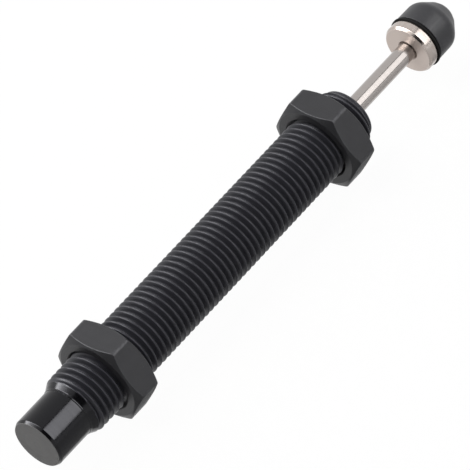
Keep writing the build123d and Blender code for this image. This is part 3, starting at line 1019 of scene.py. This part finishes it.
# %% Build the spring rule
spring_tree = Tree(bpy.data.node_groups.new("coil_spring", "GeometryNodeTree"))
spring_inputs = spring_tree.sockets("INPUT", {
    "Start": (FLOAT, 0.0), "End": (FLOAT, 0.05),
    "Coil Radius": (FLOAT, 0.003), "Wire Radius": (FLOAT, 0.0003),
    "Coils": (FLOAT, 14.0), "Points per Coil": (WHOLE, 40),
    "Material": (FINISH, None),
})
spring_tree.sockets("OUTPUT", {"Mesh": (SHAPE, None)})


def build_spring(t):
    given = t.node("NodeGroupInput").outputs
    total = t.math("CEIL", t.times(given["Coils"], given["Points per Coil"]))
    line = t.fill("GeometryNodeMeshLine", Count=t.add(total, 1.0))
    curve = t.fill("GeometryNodeMeshToCurve", Mesh=line["Mesh"])
    turn = t.over(t.times(t.node("GeometryNodeInputIndex").outputs[0], given["Coils"]), total)
    closed = t.times(given["Wire Radius"], 2.0)
    length = t.minus(given["End"], given["Start"])
    open_length = t.minus(length, t.times(closed, 2.0))
    open_coils = t.minus(given["Coils"], 2.0)
    step = t.over(open_length, open_coils)
    first = t.least(turn, 1.0)
    middle = t.least(t.most(t.minus(turn, 1.0), 0.0), open_coils)
    last = t.most(t.minus(t.minus(turn, 1.0), open_coils), 0.0)
    x = t.add(t.times(t.add(first, last), closed), t.times(middle, step))
    wound = wind(t, curve["Curve"], t.add(x, given["Start"]), given["Coil Radius"], turn)
    circle = t.fill("GeometryNodeCurvePrimitiveCircle", Resolution=12, Radius=given["Wire Radius"])
    wire = t.fill("GeometryNodeCurveToMesh", Curve=wound, Profile_Curve=circle["Curve"], Fill_Caps=True)
    x, y, z = t.fill("ShaderNodeSeparateXYZ", Vector=t.node("GeometryNodeInputPosition").outputs[0])
    flat = t.fill("ShaderNodeCombineXYZ", X=held(t, x, given), Y=y, Z=z)
    ground = t.fill("GeometryNodeSetPosition", Geometry=wire["Mesh"], Position=flat[0])
    end_of_tree(t, ground[0], given["Material"])


build_spring(spring_tree)
spring_tree.tell()

# %% Make the spring
wire_radius = 0.3
spring_mesh = run_tree(spring_tree, spring_inputs, {
    "Start": spring_rear * MM,
    "End": spring_front * MM,
    "Coil Radius": (spring_outer - wire_radius) * MM,
    "Wire Radius": wire_radius * MM,
    "Coils": 14.0,
    "Material": spring_wire,
})
bm = bmesh.new()
bm.from_mesh(spring_mesh)
spring_skin = finished_object(bm, "spring_skin")
spring_skin.data.materials.append(spring_wire)
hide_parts("return_spring")
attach(spring_skin, "housing")
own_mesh(spring_skin)

# %% [markdown]
# The sealed pieces keep their CAD meshes, unmoved and unchanged, and only their material
# slots are given new materials.

# %% Give the sealed pieces their finishes
inner_finishes = {
    "rod_guide": guide_aluminium,
    "foam_carrier": guide_aluminium,
    "guide_bush": bush_bronze,
    "piston_ring": bush_bronze,
    "rod_seal": seal_rubber,
    "body_o_ring": seal_rubber,
    "seal_backup_washer": washer_white,
    "accumulator_foam": foam_grey,
    "pressure_tube": turned_steel,
    "tube_end_plug": turned_steel,
    "piston": turned_steel,
    "ball_retainer": turned_steel,
    "check_ball": ball_steel,
}
for node, material in inner_finishes.items():
    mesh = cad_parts[node].data
    mesh.materials.clear()
    mesh.materials.append(material)
print("sealed pieces painted:", len(inner_finishes))

# %% [markdown]
# The object lies on its nuts, so the floor touches their lower flats. The floor is matte
# and keeps the object's shadow, and floor and world are white paper to the camera and to
# mirror reflections. To everything else the world is a soft fill light.

# %% Make the floor
FLOOR_SIDE = 6.0
PAPER_GLOW = 0.97


def flat_sheet(name, paint, size, place):
    """A flat rectangle of a size in metres, set in its place."""
    bm = bmesh.new()
    bmesh.ops.create_grid(bm, x_segments=1, y_segments=1, size=0.5)
    bmesh.ops.scale(bm, verts=bm.verts, vec=(*size, 1))
    bmesh.ops.transform(bm, verts=bm.verts, matrix=place)
    mesh = bpy.data.meshes.new(name)
    bm.to_mesh(mesh)
    bm.free()
    mesh.materials.append(paint)
    return placed(name, mesh)


def seen_plainly(t):
    """One for a ray from the camera, off a gloss or through glass, and nought for fill light."""
    seen = t.node("ShaderNodeLightPath").outputs
    return t.most(t.most(seen["Is Camera Ray"], seen["Is Glossy Ray"]), seen["Is Transmission Ray"])


def white_paper():
    made, t, shader = new_finish("paper_white", Roughness=0.9, Base_Color=grey(0.9))
    blend = t.node("ShaderNodeMixShader")
    t.put(blend.inputs[0], t.times(seen_plainly(t), PAPER_GLOW))
    t.put(blend.inputs[1], shader.outputs[0])
    t.put(blend.inputs[2], t.node("ShaderNodeEmission").outputs[0])
    t.put(t.tree.nodes["Material Output"].inputs["Surface"], blend.outputs[0])
    return made


floor = flat_sheet("paper_floor", white_paper(), (FLOOR_SIDE, FLOOR_SIDE),
                   Matrix.Translation((0, 0, -nut_flat * MM)))
print("floor at", round(-nut_flat, 2), "mm")


# %% Make the world
WORLD_LEVEL = 0.55
world = bpy.data.worlds.new("studio")
bpy.context.scene.world = world
world.use_nodes = True
t = Tree(world.node_tree)
backdrop = world.node_tree.nodes["Background"]
backdrop.inputs["Color"].default_value = grey(1.0)
t.put(backdrop.inputs["Strength"], t.add(t.times(seen_plainly(t), 1 - WORLD_LEVEL), WORLD_LEVEL))
print("world fills at", WORLD_LEVEL)

# %% [markdown]
# A large key lamp on the rod's side gives the streak on the rod, and a brighter strip in
# front of it gives the streak on the neck, in reflection only. A side lamp lights the
# left of the thread and the nuts' chamfers, and its own strip the band on the shoulder.

# %% Make the lamps
def aimed_at_middle(direction, distance):
    """Places something square to the object's middle, with its height along the axis."""
    way = Vector(direction).normalized()
    side = Vector((1, 0, 0)).cross(way).normalized()
    turn = Matrix((side, way.cross(side), way)).transposed().to_4x4()
    middle = Vector(((body_rear + cap_front) / 2 * MM, 0, 0))
    return Matrix.Translation(middle + way * distance) @ turn


def softbox(name, direction, distance, size, radiance, shift=0.0, fills=True):
    """An area lamp that looks at the object, may be shifted along it, and may only make reflections."""
    lamp = bpy.data.lights.new(name, "AREA")
    lamp.shape = "RECTANGLE"
    lamp.size, lamp.size_y = size
    lamp.energy = radiance * math.pi * size[0] * size[1]
    holder = placed(name, lamp)
    holder.matrix_world = aimed_at_middle(direction, distance) @ Matrix.Translation((0, shift, 0))
    holder.visible_diffuse = fills
    print(name, "power", round(lamp.energy, 2), "W")
    return holder


key_way = (0.459, -0.603, 0.652)
side_way = (-0.22, 0.53, 0.76)
KEY_SIDE = 0.9
key = softbox("key_softbox", key_way, 0.9, (KEY_SIDE, KEY_SIDE), 2.1)
softbox("neck_strip", key_way, 0.88, (0.88, 0.2), 5.8, -0.125, fills=False)
softbox("side_softbox", side_way, 0.9, (1.2, 0.45), 4.0)
softbox("side_strip", side_way, 0.88, (1.0, 0.26), 10.5, fills=False)

# %% [markdown]
# Black paint only looks black where it reflects something dark. One black card frames the
# key lamp, one stands behind the rear end and one beside the camera, and a grey card lies
# on the floor beside the object. The camera sees none of them.

# %% Make the cards
def hidden_card(name, paint, place, size, shadow=True):
    """A matte card that the camera does not see."""
    card = flat_sheet(name, paint, size, place)
    card.visible_camera = False
    card.visible_shadow = shadow


def card_paint(name, level):
    return new_finish(name, Roughness=1.0, Specular_IOR_Level=0.0, Base_Color=grey(level))[0]


card_black = card_paint("card_black", 0.02)
card_grey = card_paint("card_grey", 0.65)
frame_side = KEY_SIDE + 0.24
behind = Matrix.Translation((0, 0, 0.02))
hidden_card("key_frame", card_black, key.matrix_world @ behind, (frame_side, frame_side))
hidden_card("rear_card", card_black, aimed_at_middle((-0.98, -0.1, 0.15), 0.9), (0.8, 0.8))
hidden_card("camera_card", card_black, aimed_at_middle((-0.70, -0.417, 0.562), 1.5), (1.3, 1.7))
floor_card_size = (0.6, 0.2)
gap_to_axis = 0.0065
lift = 0.3
beside = Matrix.Translation((0, -gap_to_axis - floor_card_size[1] / 2, (lift - nut_flat) * MM))
hidden_card("floor_card", card_grey, beside, floor_card_size, shadow=False)

# %% [markdown]
# The photograph looks at the shock absorber at 62 degrees to its axis, from the rod's
# side, through a long lens, and the axis runs up to the right across the picture. Two
# more angles set the roll about the line of sight and about the axis, so the camera
# needs only those, its distance and the point that it centres on.

# %% Make the camera
view_angle = math.radians(62)
picture_angle = math.radians(46.786)
roll_angle = math.radians(36.54)
camera_distance = 0.8986
lens = 352.34
aim_along = -0.0316
aim_right = 0.0031215
aim_up = 0.0031473

axis = Vector((1, 0, 0))
across = Vector((0, -math.cos(roll_angle), -math.sin(roll_angle)))
away = Vector((0, -math.sin(roll_angle), math.cos(roll_angle)))
flat_axis = math.sin(view_angle) * axis + math.cos(view_angle) * away
back = -math.cos(view_angle) * axis + math.sin(view_angle) * away
right = math.cos(picture_angle) * flat_axis + math.sin(picture_angle) * across
up = math.sin(picture_angle) * flat_axis - math.cos(picture_angle) * across

camera_data = bpy.data.cameras.new("camera")
camera_data.lens = lens
camera_data.sensor_width = 36
camera = placed("camera", camera_data)
place = axis * aim_along + right * aim_right + up * aim_up + back * camera_distance
camera.matrix_world = Matrix.Translation(place) @ Matrix((right, up, back)).transposed().to_4x4()
bpy.context.scene.camera = camera
bpy.context.scene.view_settings.view_transform = "Standard"
print("camera at", [round(value, 4) for value in place])
